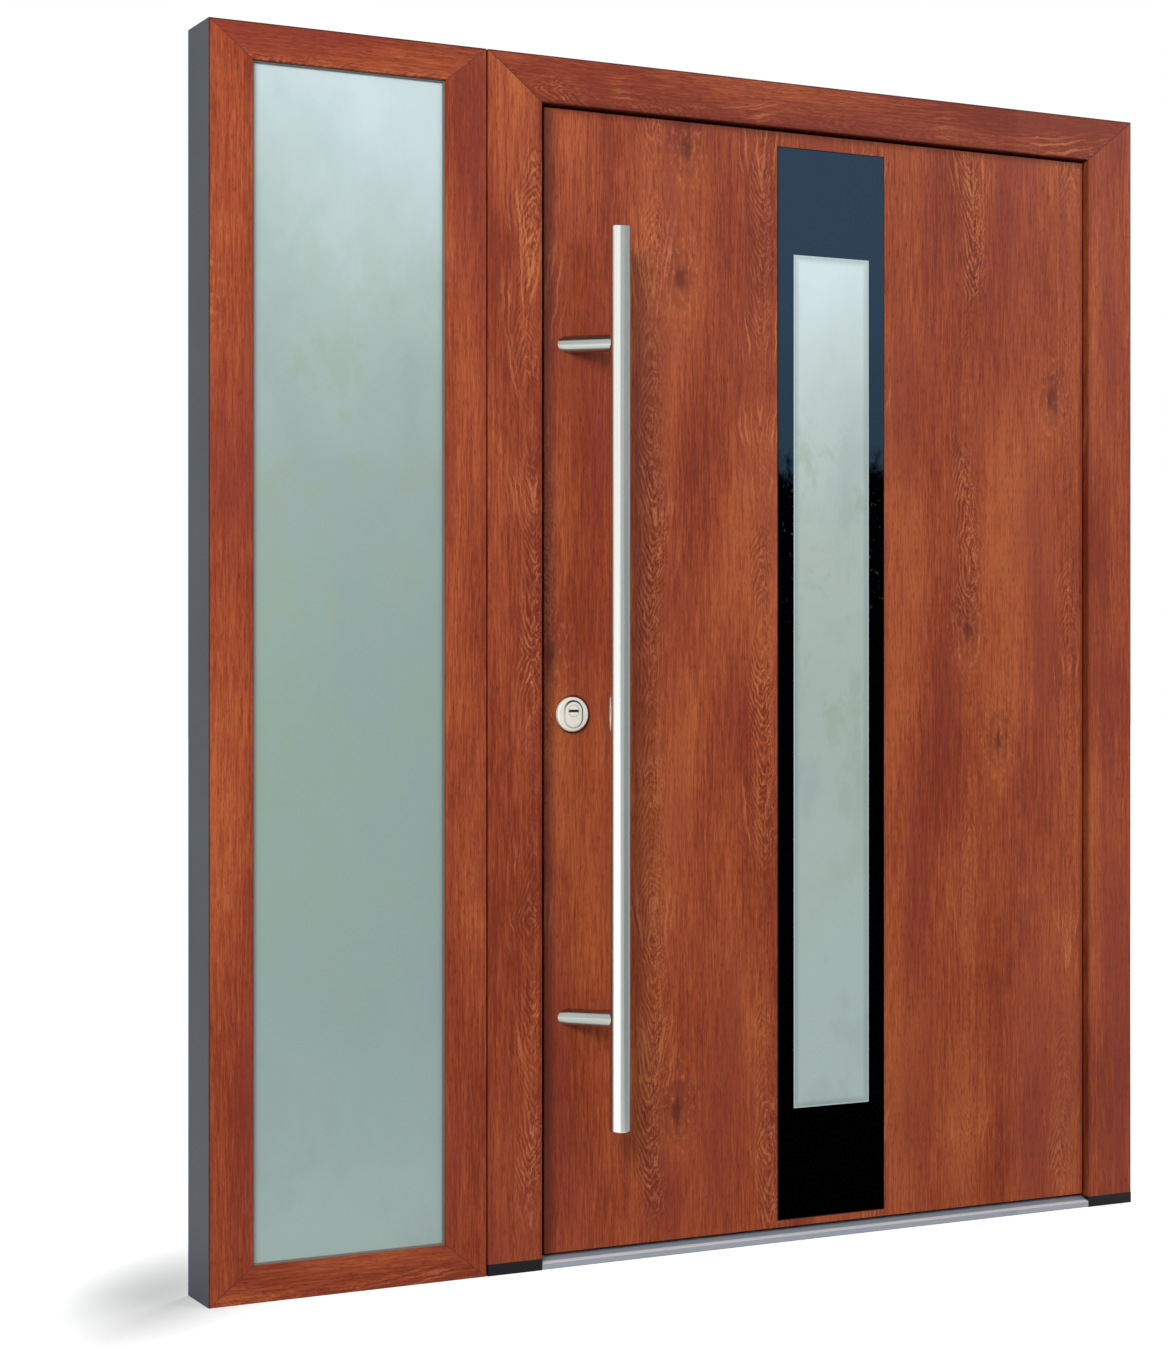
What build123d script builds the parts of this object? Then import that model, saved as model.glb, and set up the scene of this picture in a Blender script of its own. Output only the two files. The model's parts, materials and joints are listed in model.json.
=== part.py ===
from build123d import *
import os
from math import cos, radians, sin

# Entrance door with a fixed sidelight, in millimetres. Seen from outside, +X is to the right,
# the outside faces -Y, +Z is up, and the origin is on the floor at the middle of the whole unit.

# Whole unit
unit_width = 1880.0
unit_height = 2100.0
frame_depth = 104.0
sidelight_width = 498.0
coupling_gap = 3.0
coupling_recess = 6.0

# Door frame, mitred at the head
jamb_face = 103.0
head_face = 81.0
lip_depth = 40.0
jamb_rebate = 20.0
foot_height = 20.0
edge_radius = 2.0
seal_width = 9.0
seal_thickness = 4.5

# Threshold
threshold_height = 20.0
threshold_nose = 11.0
threshold_nose_radius = 3.0
threshold_slope_depth = 18.0
threshold_slope_rise = 6.0
threshold_step_run = 4.0
break_width = 32.0
break_depth = 5.0
break_start = 28.0

# Sidelight frame, mitred at its four corners
stile_face = 76.0
rail_face = 61.0
glazing_lip = 6.0
glazing_rebate = 16.0
gasket_thickness = 4.0
gasket_reveal = 3.0
pane_thickness = 6.0
cavity = 18.0
spacer_width = 10.0
glass_edge_gap = 4.0
bead_depth = 25.0
bead_chamfer = 3.0

# Leaf
leaf_recess = 12.0
lock_gap = 9.5
hinge_gap = 5.5
head_gap = 6.0
rear_lock_gap = 7.5
rear_gap = 5.5
step_gap = 5.0
floor_gap = 5.0
skin_thickness = 3.0
leaf_stile_width = 110.0
leaf_rail_height = 100.0
bottom_seal_width = 15.0
bottom_seal_height = 14.0
bottom_seal_inset = 25.0

# Dark glass strip with a frosted window
strip_left = 473.0
strip_width = 227.5
strip_bottom = 14.0
strip_top = 28.0
strip_thickness = 4.0
window_side = 32.5
window_width = 162.0
window_bottom = 200.0
window_top = 193.0
window_cover = 14.0
window_cavity = 24.0
trim_flange = 25.0
trim_thickness = 6.0
trim_radius = 2.0

# Pull bar
bar_diameter = 38.0
bar_inset = 113.5
bar_standoff = 66.0
bar_bottom = 214.0
bar_top = 207.0
bar_edge_bevel = 1.5
bracket_diameter = 30.0
bracket_angle = 45.0
bracket_inset_top = 202.0
bracket_inset_bottom = 194.0

# Lock
cylinder_inset = 52.5
cylinder_height = 941.0
cylinder_radius = 8.5
cylinder_flag_width = 10.0
cylinder_overall = 33.0
cylinder_clearance = 0.3
rose_diameter = 60.0
rose_thickness = 8.0
rose_edge_bevel = 2.0
rose_drop = 6.0
guard_width = 34.0
guard_height = 46.0
guard_thickness = 2.0
disc_diameter = 20.0
disc_clearance = 0.1
disc_thickness = 5.0
disc_back_gap = 0.5
key_slot_width = 16.5
key_slot_height = 3.4
key_slot_depth = 3.5
inner_rose_diameter = 52.0
inner_rose_thickness = 8.0
cylinder_stand_out = 3.0
lever_rise = 92.0
lever_diameter = 19.0
lever_reach = 45.0
lever_length = 125.0
lever_bend = 20.0
lever_end_bevel = 1.5
faceplate_width = 24.0
faceplate_thickness = 3.0
faceplate_bottom = 175.0
faceplate_top = 113.0
bolt_width = 14.0
bolt_height = 36.0
strike_height = 180.0

# Hinges
hinge_pin_offset = 16.0
hinge_pin_side = 2.5
hinge_barrel_radius = 10.0
hinge_pin_radius = 5.0
hinge_pin_clearance = 0.1
hinge_half_height = 50.0
hinge_half_gap = 1.0
hinge_plate_thickness = 12.0
hinge_plate_width = 34.0
hinge_plate_inset = 6.0
hinge_end_inset = 225.0

# Places that follow from the sizes
unit_left = -unit_width / 2
unit_right = unit_width / 2
outside = -frame_depth / 2
inside = frame_depth / 2
step = outside + lip_depth
sidelight_right = unit_left + sidelight_width
door_left = sidelight_right + coupling_gap
lock_lip = door_left + jamb_face
hinge_lip = unit_right - jamb_face
head_lip = unit_height - head_face
lock_rear = lock_lip - jamb_rebate
hinge_rear = hinge_lip + jamb_rebate
head_rebate = jamb_rebate * head_face / jamb_face
head_rear = head_lip + head_rebate

leaf_front = outside + leaf_recess
leaf_back = inside
leaf_step = step + step_gap
leaf_lock = lock_lip + lock_gap
leaf_hinge = hinge_lip - hinge_gap
leaf_top = head_lip - head_gap
leaf_lock_rear = lock_rear + rear_lock_gap
leaf_hinge_rear = hinge_rear - rear_gap
leaf_top_rear = head_rear - rear_gap
leaf_bottom = threshold_height + floor_gap
core_front = leaf_front + skin_thickness
core_back = leaf_back - skin_thickness
lock_stile_inner = leaf_lock_rear + leaf_stile_width
hinge_stile_inner = leaf_hinge_rear - leaf_stile_width
top_rail_bottom = leaf_top - leaf_rail_height
bottom_rail_top = leaf_bottom + leaf_rail_height

os.makedirs("parts", exist_ok=True)


def save(piece, node):
    piece.part.label = node
    export_step(piece.part, f"parts/{node}.step")


def area(low, high):
    """A rectangle from its lowest to its highest corner, in the sketch being drawn."""
    with Locations(((low[0] + high[0]) / 2, (low[1] + high[1]) / 2)):
        Rectangle(high[0] - low[0], high[1] - low[1])


def hole(low, high):
    """A rectangle taken out of the sketch being drawn, from its lowest to its highest corner."""
    with Locations(((low[0] + high[0]) / 2, (low[1] + high[1]) / 2)):
        Rectangle(high[0] - low[0], high[1] - low[1], mode=Mode.SUBTRACT)


def facing_out(y):
    """The upright plane at this depth: a sketch on it reads (x, z) and extrudes outwards, to -Y."""
    return Plane.XZ.offset(-y)


def mitre(outer, inner):
    """The cutting plane of a mitred corner, through its outer and inner points (x, z).

    The level rail lies on the plane's upper side.
    """
    run = outer[0] - inner[0]
    rise = outer[1] - inner[1]
    turn = 1 if run * rise > 0 else -1
    return Plane(origin=(outer[0], 0, outer[1]), x_dir=(0, 1, 0), z_dir=(-turn * rise, 0, turn * run))


def slab(node, low, high, front, back):
    """A rectangular board between two depths."""
    with BuildPart() as board:
        with BuildSketch(facing_out(back)):
            area(low, high)
        extrude(amount=back - front)
    save(board, node)


def ring(node, low, high, inner_low, inner_high, front, back):
    """A rectangular frame in one piece between two depths."""
    with BuildPart() as loop:
        with BuildSketch(facing_out(back)):
            area(low, high)
            hole(inner_low, inner_high)
        extrude(amount=back - front)
    save(loop, node)


# Door frame: two uprights and the head
bolt_middle = (leaf_step + core_back) / 2
faceplate_low = leaf_bottom + faceplate_bottom
faceplate_high = leaf_top - faceplate_top
bolt_heights = [
    faceplate_low + strike_height / 2,
    leaf_bottom + cylinder_height,
    faceplate_high - strike_height / 2,
]


def strike_outlines():
    """The three strike plates' outlines, with round ends, on a plane that faces +X."""
    for height in bolt_heights:
        with Locations((bolt_middle, height)):
            SlotOverall(strike_height, faceplate_width, rotation=90)


def bolt_outlines(mode):
    """The three bolts' outlines, on a plane that faces +X."""
    for height in bolt_heights:
        with Locations((bolt_middle, height)):
            Rectangle(bolt_width, bolt_height, mode=mode)


def faceplate_outline():
    """The long faceplate's outline, with round ends, on a plane that faces +X."""
    with Locations((bolt_middle, (faceplate_low + faceplate_high) / 2)):
        SlotOverall(faceplate_high - faceplate_low, faceplate_width, rotation=90)


def jamb(node, lip, outer, rear, strikes):
    """A stepped upright: a wide lip outside and a rebate behind it, cut to the head's mitre."""
    with BuildPart() as upright:
        with BuildSketch(Plane.XY.offset(foot_height)):
            with BuildLine():
                Polyline((lip, outside), (outer, outside), (outer, inside), (rear, inside),
                         (rear, step), (lip, step), close=True)
            section = make_face()
            front_corners = section.vertices().group_by(Axis.Y)[0]
            fillet(front_corners, radius=edge_radius)
        extrude(amount=unit_height - foot_height)
        split(bisect_by=mitre((outer, unit_height), (lip, head_lip)), keep=Keep.BOTTOM)
        if strikes:
            with BuildSketch(Plane.YZ.offset(rear)):
                strike_outlines()
            extrude(amount=-faceplate_thickness, mode=Mode.SUBTRACT)
    save(upright, node)


jamb("lock_jamb", lock_lip, door_left, lock_rear, strikes=True)
jamb("hinge_jamb", hinge_lip, unit_right, hinge_rear, strikes=False)

with BuildPart() as head:
    with BuildSketch(Plane.YZ.offset(door_left)):
        with BuildLine():
            Polyline((outside, head_lip), (outside, unit_height), (inside, unit_height),
                     (inside, head_rear), (step, head_rear), (step, head_lip), close=True)
        head_section = make_face()
        fillet(head_section.vertices().group_by(Axis.Y)[0], radius=edge_radius)
    extrude(amount=unit_right - door_left)
    split(bisect_by=mitre((door_left, unit_height), (lock_lip, head_lip)), keep=Keep.TOP)
    split(bisect_by=mitre((unit_right, unit_height), (hinge_lip, head_lip)), keep=Keep.TOP)
save(head, "head")

with BuildPart() as jamb_feet:
    with BuildSketch(Plane.XY):
        area((door_left, outside), (lock_lip, inside))
        area((hinge_lip, outside), (unit_right, inside))
    extrude(amount=foot_height)
save(jamb_feet, "jamb_feet")

with BuildPart() as strike_plates:
    with BuildSketch(Plane.YZ.offset(lock_rear)):
        strike_outlines()
        bolt_outlines(Mode.SUBTRACT)
    extrude(amount=-faceplate_thickness)
save(strike_plates, "strike_plates")

# The seal that the leaf closes against, on the back of the frame's lip
with BuildPart() as rebate_seal:
    with BuildSketch(facing_out(step + seal_thickness)):
        area((lock_lip - seal_width, foot_height), (hinge_lip + seal_width, head_lip + seal_width))
        hole((lock_lip, foot_height), (hinge_lip, head_lip))
    extrude(amount=seal_thickness)
save(rebate_seal, "rebate_seal")

# Threshold between the two feet
break_front = outside + break_start
with BuildPart() as threshold:
    with BuildSketch(Plane.YZ.offset(lock_lip)):
        with BuildLine():
            slope_end = outside + threshold_slope_depth
            Polyline((outside, 0), (outside, threshold_nose),
                     (slope_end, threshold_nose + threshold_slope_rise),
                     (slope_end + threshold_step_run, threshold_height),
                     (break_front, threshold_height),
                     (break_front, threshold_height - break_depth),
                     (break_front + break_width, threshold_height - break_depth),
                     (break_front + break_width, threshold_height),
                     (inside, threshold_height), (inside, 0), close=True)
        threshold_section = make_face()
        nose = threshold_section.vertices().group_by(Axis.Y)[0].sort_by(Axis.Z)[-1]
        fillet(nose, radius=threshold_nose_radius)
    extrude(amount=hinge_lip - lock_lip)
save(threshold, "threshold")

with BuildPart() as threshold_break:
    with BuildSketch(Plane.XY.offset(threshold_height - break_depth)):
        area((lock_lip, break_front), (hinge_lip, break_front + break_width))
    extrude(amount=break_depth)
save(threshold_break, "threshold_break")

with BuildPart() as coupling_strip:
    with BuildSketch(Plane.XY):
        area((sidelight_right, outside + coupling_recess), (door_left, inside - coupling_recess))
    extrude(amount=unit_height)
save(coupling_strip, "coupling_strip")

# Sidelight frame
rail_rebate = glazing_rebate * rail_face / stile_face
lip_back = outside + glazing_lip
sight_left = unit_left + stile_face
sight_right = sidelight_right - stile_face
sight_bottom = rail_face
sight_top = unit_height - rail_face
rebate_left = sight_left - glazing_rebate
rebate_right = sight_right + glazing_rebate
rebate_bottom = sight_bottom - rail_rebate
rebate_top = sight_top + rail_rebate


def sidelight_stile(node, outer, sight, rebate_edge):
    """An upright of the sidelight with its glazing rebate, mitred at both ends."""
    with BuildPart() as stile:
        with BuildSketch(Plane.XY):
            with BuildLine():
                Polyline((sight, outside), (outer, outside), (outer, inside), (rebate_edge, inside),
                         (rebate_edge, lip_back), (sight, lip_back), close=True)
            section = make_face()
            fillet(section.vertices().group_by(Axis.Y)[0], radius=edge_radius)
        extrude(amount=unit_height)
        split(bisect_by=mitre((outer, unit_height), (sight, sight_top)), keep=Keep.BOTTOM)
        split(bisect_by=mitre((outer, 0), (sight, sight_bottom)), keep=Keep.BOTTOM)
    save(stile, node)


def sidelight_rail(node, outer, sight, rebate_edge):
    """A level rail of the sidelight with its glazing rebate, mitred at both ends."""
    with BuildPart() as rail:
        with BuildSketch(Plane.YZ.offset(unit_left)):
            with BuildLine():
                Polyline((outside, sight), (outside, outer), (inside, outer), (inside, rebate_edge),
                         (lip_back, rebate_edge), (lip_back, sight), close=True)
            section = make_face()
            fillet(section.vertices().group_by(Axis.Y)[0], radius=edge_radius)
        extrude(amount=sidelight_width)
        split(bisect_by=mitre((unit_left, outer), (sight_left, sight)), keep=Keep.TOP)
        split(bisect_by=mitre((sidelight_right, outer), (sight_right, sight)), keep=Keep.TOP)
    save(rail, node)


sidelight_stile("sidelight_left_stile", unit_left, sight_left, rebate_left)
sidelight_stile("sidelight_right_stile", sidelight_right, sight_right, rebate_right)
sidelight_rail("sidelight_top_rail", unit_height, sight_top, rebate_top)
sidelight_rail("sidelight_bottom_rail", 0, sight_bottom, rebate_bottom)

# Sidelight glass: gasket behind the lip, two panes on a spacer, beads inside
glass_front = lip_back + gasket_thickness
cavity_front = glass_front + pane_thickness
cavity_back = cavity_front + cavity
glass_back = cavity_back + pane_thickness
pane_low = (rebate_left + glass_edge_gap, rebate_bottom + glass_edge_gap)
pane_high = (rebate_right - glass_edge_gap, rebate_top - glass_edge_gap)
ring("sidelight_gasket",
     (rebate_left, rebate_bottom), (rebate_right, rebate_top),
     (sight_left + gasket_reveal, sight_bottom + gasket_reveal),
     (sight_right - gasket_reveal, sight_top - gasket_reveal),
     lip_back, glass_front)
slab("sidelight_outer_pane", pane_low, pane_high, glass_front, cavity_front)
slab("sidelight_inner_pane", pane_low, pane_high, cavity_back, glass_back)
ring("sidelight_spacer", pane_low, pane_high,
     (pane_low[0] + spacer_width, pane_low[1] + spacer_width),
     (pane_high[0] - spacer_width, pane_high[1] - spacer_width),
     cavity_front, cavity_back)

bead_back = glass_back + bead_depth
with BuildPart() as sidelight_upright_beads:
    with BuildSketch(Plane.XY.offset(rebate_bottom)):
        for wall, edge in ((rebate_left, sight_left), (rebate_right, sight_right)):
            with BuildLine():
                slant = bead_chamfer if edge > wall else -bead_chamfer
                Polyline((wall, glass_back), (edge, glass_back), (edge, bead_back - bead_chamfer),
                         (edge - slant, bead_back), (wall, bead_back), close=True)
            make_face()
    extrude(amount=rebate_top - rebate_bottom)
save(sidelight_upright_beads, "sidelight_upright_beads")

with BuildPart() as sidelight_level_beads:
    with BuildSketch(Plane.YZ.offset(sight_left)):
        for wall, edge in ((rebate_bottom, sight_bottom), (rebate_top, sight_top)):
            with BuildLine():
                slant = bead_chamfer if edge > wall else -bead_chamfer
                Polyline((glass_back, wall), (glass_back, edge), (bead_back - bead_chamfer, edge),
                         (bead_back, edge - slant), (bead_back, wall), close=True)
            make_face()
    extrude(amount=sight_right - sight_left)
save(sidelight_level_beads, "sidelight_level_beads")

# Lock places on the leaf
cylinder_x = leaf_lock + cylinder_inset
cylinder_z = leaf_bottom + cylinder_height


def cylinder_outline(clearance, mode):
    """The lock cylinder's keyhole-shaped section: a circle with a narrower flag below it."""
    flag_radius = cylinder_flag_width / 2
    flag_centre = cylinder_overall - cylinder_radius - flag_radius
    with Locations((cylinder_x, cylinder_z)):
        Circle(cylinder_radius + clearance, mode=mode)
    with Locations((cylinder_x, cylinder_z - flag_centre)):
        Circle(flag_radius + clearance, mode=mode)
    with Locations((cylinder_x, cylinder_z - flag_centre / 2)):
        Rectangle(cylinder_flag_width + 2 * clearance, flag_centre, mode=mode)


# Leaf frame: stepped stiles and rails under the two skins
with BuildPart() as leaf_lock_stile:
    with BuildSketch(Plane.XY.offset(leaf_bottom)):
        area((leaf_lock, core_front), (lock_stile_inner, core_back))
    extrude(amount=leaf_top - leaf_bottom)
    with BuildSketch(Plane.XY.offset(leaf_bottom)):
        area((leaf_lock_rear, leaf_step), (lock_stile_inner, core_back))
    extrude(amount=leaf_top_rear - leaf_bottom)
    with BuildSketch(facing_out(core_back)):
        cylinder_outline(cylinder_clearance, Mode.ADD)
    extrude(amount=core_back - core_front, mode=Mode.SUBTRACT)
    with BuildSketch(Plane.YZ.offset(leaf_lock_rear)):
        faceplate_outline()
    extrude(amount=faceplate_thickness, mode=Mode.SUBTRACT)
save(leaf_lock_stile, "leaf_lock_stile")

with BuildPart() as leaf_hinge_stile:
    with BuildSketch(Plane.XY.offset(leaf_bottom)):
        area((hinge_stile_inner, core_front), (leaf_hinge, core_back))
    extrude(amount=leaf_top - leaf_bottom)
    with BuildSketch(Plane.XY.offset(leaf_bottom)):
        area((hinge_stile_inner, leaf_step), (leaf_hinge_rear, core_back))
    extrude(amount=leaf_top_rear - leaf_bottom)
save(leaf_hinge_stile, "leaf_hinge_stile")

with BuildPart() as leaf_top_rail:
    with BuildSketch(Plane.YZ.offset(lock_stile_inner)):
        area((core_front, top_rail_bottom), (core_back, leaf_top))
        area((leaf_step, top_rail_bottom), (core_back, leaf_top_rear))
    extrude(amount=hinge_stile_inner - lock_stile_inner)
save(leaf_top_rail, "leaf_top_rail")

seal_front = leaf_front + bottom_seal_inset
with BuildPart() as leaf_bottom_rail:
    with BuildSketch(Plane.YZ.offset(lock_stile_inner)):
        area((core_front, leaf_bottom), (core_back, bottom_rail_top))
        hole((seal_front, leaf_bottom), (seal_front + bottom_seal_width, leaf_bottom + bottom_seal_height))
    extrude(amount=hinge_stile_inner - lock_stile_inner)
save(leaf_bottom_rail, "leaf_bottom_rail")

with BuildPart() as bottom_seal:
    with BuildSketch(Plane.YZ.offset(lock_stile_inner)):
        area((seal_front, leaf_bottom), (seal_front + bottom_seal_width, leaf_bottom + bottom_seal_height))
    extrude(amount=hinge_stile_inner - lock_stile_inner)
save(bottom_seal, "bottom_seal")

# Strip and window places
strip_low = (leaf_lock + strip_left, leaf_bottom + strip_bottom)
strip_high = (strip_low[0] + strip_width, leaf_top - strip_top)
window_low = (strip_low[0] + window_side, strip_low[1] + window_bottom)
window_high = (window_low[0] + window_width, strip_high[1] - window_top)
unit_low = (window_low[0] - window_cover, window_low[1] - window_cover)
unit_high = (window_high[0] + window_cover, window_high[1] + window_cover)
strip_front = core_front - strip_thickness

ring("leaf_core", (lock_stile_inner, bottom_rail_top), (hinge_stile_inner, top_rail_bottom),
     unit_low, unit_high, core_front, core_back)

with BuildPart() as leaf_outer_skin:
    with BuildSketch(facing_out(core_front)):
        area((leaf_lock, leaf_bottom), (leaf_hinge, leaf_top))
        hole(strip_low, strip_high)
        cylinder_outline(cylinder_clearance, Mode.SUBTRACT)
    extrude(amount=skin_thickness)
save(leaf_outer_skin, "leaf_outer_skin")

with BuildPart() as leaf_inner_skin:
    with BuildSketch(facing_out(leaf_back)):
        area((leaf_lock_rear, leaf_bottom), (leaf_hinge_rear, leaf_top_rear))
        hole(unit_low, unit_high)
        cylinder_outline(cylinder_clearance, Mode.SUBTRACT)
    extrude(amount=skin_thickness)
save(leaf_inner_skin, "leaf_inner_skin")

ring("strip_border", strip_low, strip_high, window_low, window_high, strip_front, core_front)
slab("strip_window_pane", window_low, window_high, strip_front, core_front)

window_cavity_back = core_front + window_cavity
window_glass_back = window_cavity_back + pane_thickness
ring("strip_spacer", unit_low, unit_high,
     (unit_low[0] + spacer_width, unit_low[1] + spacer_width),
     (unit_high[0] - spacer_width, unit_high[1] - spacer_width),
     core_front, window_cavity_back)
slab("strip_inner_pane", unit_low, unit_high, window_cavity_back, window_glass_back)

with BuildPart() as window_inner_trim:
    with BuildSketch(facing_out(leaf_back)):
        area(unit_low, unit_high)
        hole(window_low, window_high)
    extrude(amount=leaf_back - window_glass_back)
    with BuildSketch(facing_out(leaf_back)):
        area((window_low[0] - trim_flange, window_low[1] - trim_flange),
             (window_high[0] + trim_flange, window_high[1] + trim_flange))
        hole(window_low, window_high)
    extrude(amount=-trim_thickness)
    fillet(window_inner_trim.faces().sort_by(Axis.Y)[-1].outer_wire().edges(), radius=trim_radius)
save(window_inner_trim, "window_inner_trim")

# Pull bar and its two slanted brackets
bar_x = leaf_lock + bar_inset
bar_y = leaf_front - bar_standoff
bar_low = leaf_bottom + bar_bottom
bar_high = leaf_top - bar_top
with BuildPart() as pull_bar:
    with BuildSketch(Plane.XY.offset(bar_low)):
        with Locations((bar_x, bar_y)):
            Circle(bar_diameter / 2)
    extrude(amount=bar_high - bar_low)
    chamfer(pull_bar.edges().filter_by(GeomType.CIRCLE), length=bar_edge_bevel)
save(pull_bar, "pull_bar")

lean = radians(bracket_angle)
bracket_run = bar_standoff / cos(lean)
for node, height in (("lower_pull_bracket", bar_low + bracket_inset_bottom),
                     ("upper_pull_bracket", bar_high - bracket_inset_top)):
    along = Plane(origin=(bar_x, bar_y, height), x_dir=(0, 0, 1), z_dir=(-sin(lean), cos(lean), 0))
    with BuildPart() as pull_bracket:
        with BuildSketch(along):
            Circle(bracket_diameter / 2)
        extrude(amount=bracket_run + bracket_diameter)
        split(bisect_by=facing_out(leaf_front), keep=Keep.TOP)
        with BuildSketch(Plane.XY.offset(height - bracket_diameter)):
            with Locations((bar_x, bar_y)):
                Circle(bar_diameter / 2)
        extrude(amount=2 * bracket_diameter, mode=Mode.SUBTRACT)
    save(pull_bracket, node)

# Outside lock furniture
rose_z = cylinder_z - rose_drop
rose_front = leaf_front - rose_thickness
guard_front = rose_front - guard_thickness
disc_back = guard_front + disc_thickness
disc_radius = disc_diameter / 2

with BuildPart() as outer_rose:
    with BuildSketch(facing_out(leaf_front)):
        with Locations((cylinder_x, rose_z)):
            Circle(rose_diameter / 2)
    extrude(amount=rose_thickness)
    chamfer(outer_rose.faces().sort_by(Axis.Y)[0].edges(), length=rose_edge_bevel)
    with BuildSketch(facing_out(leaf_front)):
        cylinder_outline(cylinder_clearance, Mode.ADD)
    extrude(amount=leaf_front - disc_back, mode=Mode.SUBTRACT)
    with BuildSketch(facing_out(disc_back)):
        with Locations((cylinder_x, cylinder_z)):
            Circle(disc_radius)
    extrude(amount=disc_back - rose_front, mode=Mode.SUBTRACT)
save(outer_rose, "outer_rose")

with BuildPart() as cylinder_guard:
    with BuildSketch(facing_out(rose_front)):
        with Locations((cylinder_x, rose_z)):
            SlotOverall(guard_height, guard_width, rotation=90)
        with Locations((cylinder_x, cylinder_z)):
            Circle(disc_radius, mode=Mode.SUBTRACT)
    extrude(amount=guard_thickness)
save(cylinder_guard, "cylinder_guard")

with BuildPart() as key_disc:
    with BuildSketch(facing_out(disc_back)):
        with Locations((cylinder_x, cylinder_z)):
            Circle(disc_radius - disc_clearance)
    extrude(amount=disc_thickness)
    with BuildSketch(facing_out(guard_front)):
        with Locations((cylinder_x, cylinder_z)):
            Rectangle(key_slot_width, key_slot_height)
    extrude(amount=-key_slot_depth, mode=Mode.SUBTRACT)
save(key_disc, "key_disc")

inner_rose_front = leaf_back + inner_rose_thickness
with BuildPart() as lock_cylinder:
    with BuildSketch(facing_out(inner_rose_front + cylinder_stand_out)):
        cylinder_outline(0, Mode.ADD)
    extrude(amount=inner_rose_front + cylinder_stand_out - disc_back - disc_back_gap)
save(lock_cylinder, "lock_cylinder")

# Inside lock furniture
with BuildPart() as inner_rose:
    with BuildSketch(facing_out(inner_rose_front)):
        with Locations((cylinder_x, rose_z)):
            Circle(inner_rose_diameter / 2)
    extrude(amount=inner_rose_thickness)
    chamfer(inner_rose.faces().sort_by(Axis.Y)[-1].edges(), length=rose_edge_bevel)
    with BuildSketch(facing_out(inner_rose_front)):
        cylinder_outline(cylinder_clearance, Mode.ADD)
    extrude(amount=inner_rose_thickness, mode=Mode.SUBTRACT)
save(inner_rose, "inner_rose")

lever_z = cylinder_z + lever_rise
with BuildPart() as lever_rose:
    with BuildSketch(facing_out(inner_rose_front)):
        with Locations((cylinder_x, lever_z)):
            Circle(inner_rose_diameter / 2)
    extrude(amount=inner_rose_thickness)
    chamfer(lever_rose.faces().sort_by(Axis.Y)[-1].edges(), length=rose_edge_bevel)
save(lever_rose, "lever_rose")

with BuildPart() as lever:
    with BuildLine():
        FilletPolyline((cylinder_x, inner_rose_front, lever_z),
                       (cylinder_x, inner_rose_front + lever_reach, lever_z),
                       (cylinder_x + lever_length, inner_rose_front + lever_reach, lever_z),
                       radius=lever_bend)
    with BuildSketch(facing_out(inner_rose_front)):
        with Locations((cylinder_x, lever_z)):
            Circle(lever_diameter / 2)
    sweep()
    chamfer(lever.faces().sort_by(Axis.X)[-1].edges(), length=lever_end_bevel)
save(lever, "lever")

# Lock edge: long faceplate with the bolt ends drawn back flush in it
with BuildPart() as lock_faceplate:
    with BuildSketch(Plane.YZ.offset(leaf_lock_rear)):
        faceplate_outline()
        bolt_outlines(Mode.SUBTRACT)
    extrude(amount=faceplate_thickness)
save(lock_faceplate, "lock_faceplate")

with BuildPart() as lock_bolts:
    with BuildSketch(Plane.YZ.offset(leaf_lock_rear)):
        bolt_outlines(Mode.ADD)
    extrude(amount=faceplate_thickness)
save(lock_bolts, "lock_bolts")

# Three barrel hinges on the inside: the frame half carries the pin, the leaf half turns on it
pin_x = leaf_hinge_rear + hinge_pin_side
pin_y = inside + hinge_pin_offset
hinge_heights = {
    "lower": leaf_bottom + hinge_end_inset,
    "middle": (leaf_bottom + leaf_top) / 2,
    "upper": leaf_top - hinge_end_inset,
}
plate_front = pin_y - hinge_plate_thickness / 2
plate_back = pin_y + hinge_plate_thickness / 2
frame_plate_edge = hinge_rear + hinge_plate_inset
leaf_plate_edge = leaf_hinge_rear - hinge_barrel_radius - hinge_plate_inset

for level, height in hinge_heights.items():
    with BuildPart() as frame_half:
        with BuildSketch(Plane.XY.offset(height - hinge_half_height)):
            with Locations((pin_x, pin_y)):
                Circle(hinge_barrel_radius)
            area((pin_x, plate_front), (frame_plate_edge, plate_back))
            area((frame_plate_edge, inside), (frame_plate_edge + hinge_plate_width, plate_back))
        extrude(amount=hinge_half_height)
        with BuildSketch(Plane.XY.offset(height)):
            with Locations((pin_x, pin_y)):
                Circle(hinge_pin_radius)
        extrude(amount=hinge_half_height)
    save(frame_half, f"{level}_hinge_frame_half")

    with BuildPart() as leaf_half:
        with BuildSketch(Plane.XY.offset(height + hinge_half_gap)):
            with Locations((pin_x, pin_y)):
                Circle(hinge_barrel_radius)
            area((leaf_plate_edge, plate_front), (pin_x, plate_back))
            area((leaf_plate_edge - hinge_plate_width, inside), (leaf_plate_edge, plate_back))
            with Locations((pin_x, pin_y)):
                Circle(hinge_pin_radius + hinge_pin_clearance, mode=Mode.SUBTRACT)
        extrude(amount=hinge_half_height)
    save(leaf_half, f"{level}_hinge_leaf_half")
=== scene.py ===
import json
import math

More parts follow.
